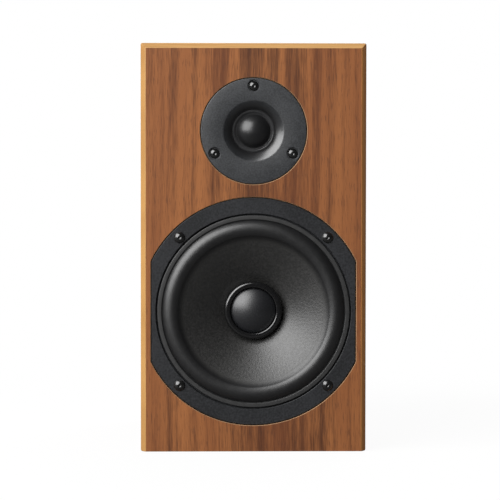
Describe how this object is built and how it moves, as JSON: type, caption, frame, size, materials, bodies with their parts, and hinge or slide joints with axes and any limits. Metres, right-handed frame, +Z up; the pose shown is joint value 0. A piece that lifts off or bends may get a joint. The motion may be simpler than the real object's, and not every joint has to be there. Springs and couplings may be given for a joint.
{
  "type": "bookshelf speaker",
  "caption": "Two-way bookshelf speaker: walnut cabinet with pale chamfered edging, flush cone woofer and dome tweeter, rear port and screw-down binding posts.",
  "frame": {"origin": "middle of the whole object's footprint, on the surface that it stands on", "axes": "front faces -Y, +X to the right as seen from the front, +Z up"},
  "size_m": [0.175, 0.2456, 0.317],
  "materials": {
    "walnut": "satin walnut veneer on board",
    "honey_edging": "lacquered pale hardwood",
    "damping_felt": "soft felt",
    "cast_black": "fine textured black",
    "gasket_foam": "closed-cell foam",
    "surround_rubber": "matte",
    "cone_plastic": "satin",
    "ring_plastic": "glossy",
    "spider_cloth": "resin-treated cloth",
    "former_aluminium": "bare",
    "copper": "enamelled copper wire",
    "steel": "zinc plated",
    "ferrite": "matte ferrite",
    "phenolic": "phenolic board",
    "tinned_brass": "tinned",
    "black_screw": "black oxide",
    "faceplate_plastic": "fine textured",
    "dome_fabric": "coated cloth",
    "black_plastic": "fine textured",
    "plated_brass": "gold plated",
    "red_plastic": "glossy",
    "knob_black": "glossy",
    "circuit_board": "solder mask",
    "bobbin_plastic": "plain",
    "capacitor_film": "shrink wrap",
    "cement": "cement",
    "lead_sleeve": "flexible sleeve"
  },
  "bodies": {
    "cabinet": {"front_baffle": "walnut", "left_side_panel": "walnut", "right_side_panel": "walnut", "top_panel": "walnut", "bottom_panel": "walnut", "rear_panel": "walnut", "left_edging": "honey_edging", "top_edging": "honey_edging", "right_edging": "honey_edging", "damping_sheets": "damping_felt", "woofer_frame": "cast_black", "woofer_gasket": "gasket_foam", "tweeter_gasket": "gasket_foam", "woofer_surround": "surround_rubber", "woofer_spider": "spider_cloth", "inductor_windings": "copper", "woofer_tinsel_leads": "copper", "woofer_top_plate": "steel", "woofer_yoke": "steel", "tweeter_top_plate": "steel", "tweeter_yoke": "steel", "crossover_screws": "steel", "post_nuts": "steel", "woofer_magnet": "ferrite", "tweeter_magnet": "ferrite", "woofer_terminal_strip": "phenolic", "tweeter_terminal_strip": "phenolic", "woofer_lugs": "tinned_brass", "tweeter_lugs": "tinned_brass", "post_tags": "tinned_brass", "woofer_screws": "black_screw", "tweeter_screws": "black_screw", "terminal_screws": "black_screw", "tweeter_faceplate": "faceplate_plastic", "tweeter_surround": "dome_fabric", "port_tube": "black_plastic", "terminal_cup": "black_plastic", "crossover_standoffs": "black_plastic", "post_studs": "plated_brass", "red_post_bush": "red_plastic", "black_post_bush": "knob_black", "crossover_board": "circuit_board", "inductor_bobbins": "bobbin_plastic", "crossover_capacitors": "capacitor_film", "crossover_resistors": "cement", "input_leads": "lead_sleeve", "woofer_leads": "lead_sleeve", "tweeter_leads": "lead_sleeve"},
    "woofer_cone_assembly": {"woofer_cone": "cone_plastic", "woofer_cap_ring": "ring_plastic", "woofer_dust_cap": "cone_plastic", "woofer_coil_former": "former_aluminium", "woofer_coil_winding": "copper"},
    "tweeter_dome_assembly": {"tweeter_dome": "dome_fabric", "tweeter_coil_former": "former_aluminium", "tweeter_coil_winding": "copper"},
    "red_clamp": {"red_post_washer": "plated_brass"},
    "red_knob": {"red_post_knob": "red_plastic"},
    "black_clamp": {"black_post_washer": "plated_brass"},
    "black_knob": {"black_post_knob": "knob_black"}
  },
  "joints": [
    {"name": "woofer_excursion", "type": "slide", "parent": "cabinet", "child": "woofer_cone_assembly", "axis": [0, -1, 0], "range_m": [-0.005, 0.005], "stiffness_N_per_m": 1200, "deforming": ["woofer_surround", "woofer_spider", "woofer_tinsel_leads"]},
    {"name": "tweeter_excursion", "type": "slide", "parent": "cabinet", "child": "tweeter_dome_assembly", "axis": [0, -1, 0], "range_m": [-0.0003, 0.0003], "stiffness_N_per_m": 400, "deforming": ["tweeter_surround"]},
    {"name": "red_clamp_travel", "type": "slide", "parent": "cabinet", "child": "red_clamp", "axis": [0, 1, 0], "range_m": [0, 0.004]},
    {"name": "red_knob_turn", "type": "hinge", "parent": "red_clamp", "child": "red_knob", "pos_m": [0.00953, 0.1108, 0.072], "axis": [0, 1, 0], "range_deg": [0, 1440]},
    {"name": "black_clamp_travel", "type": "slide", "parent": "cabinet", "child": "black_clamp", "axis": [0, 1, 0], "range_m": [0, 0.004]},
    {"name": "black_knob_turn", "type": "hinge", "parent": "black_clamp", "child": "black_knob", "pos_m": [-0.00953, 0.1108, 0.072], "axis": [0, 1, 0], "range_deg": [0, 1440]}
  ],
  "couplings": [
    {"joint": "red_knob_turn", "follows": "red_clamp_travel", "rad_per_m": 6283.2},
    {"joint": "black_knob_turn", "follows": "black_clamp_travel", "rad_per_m": 6283.2}
  ]
}
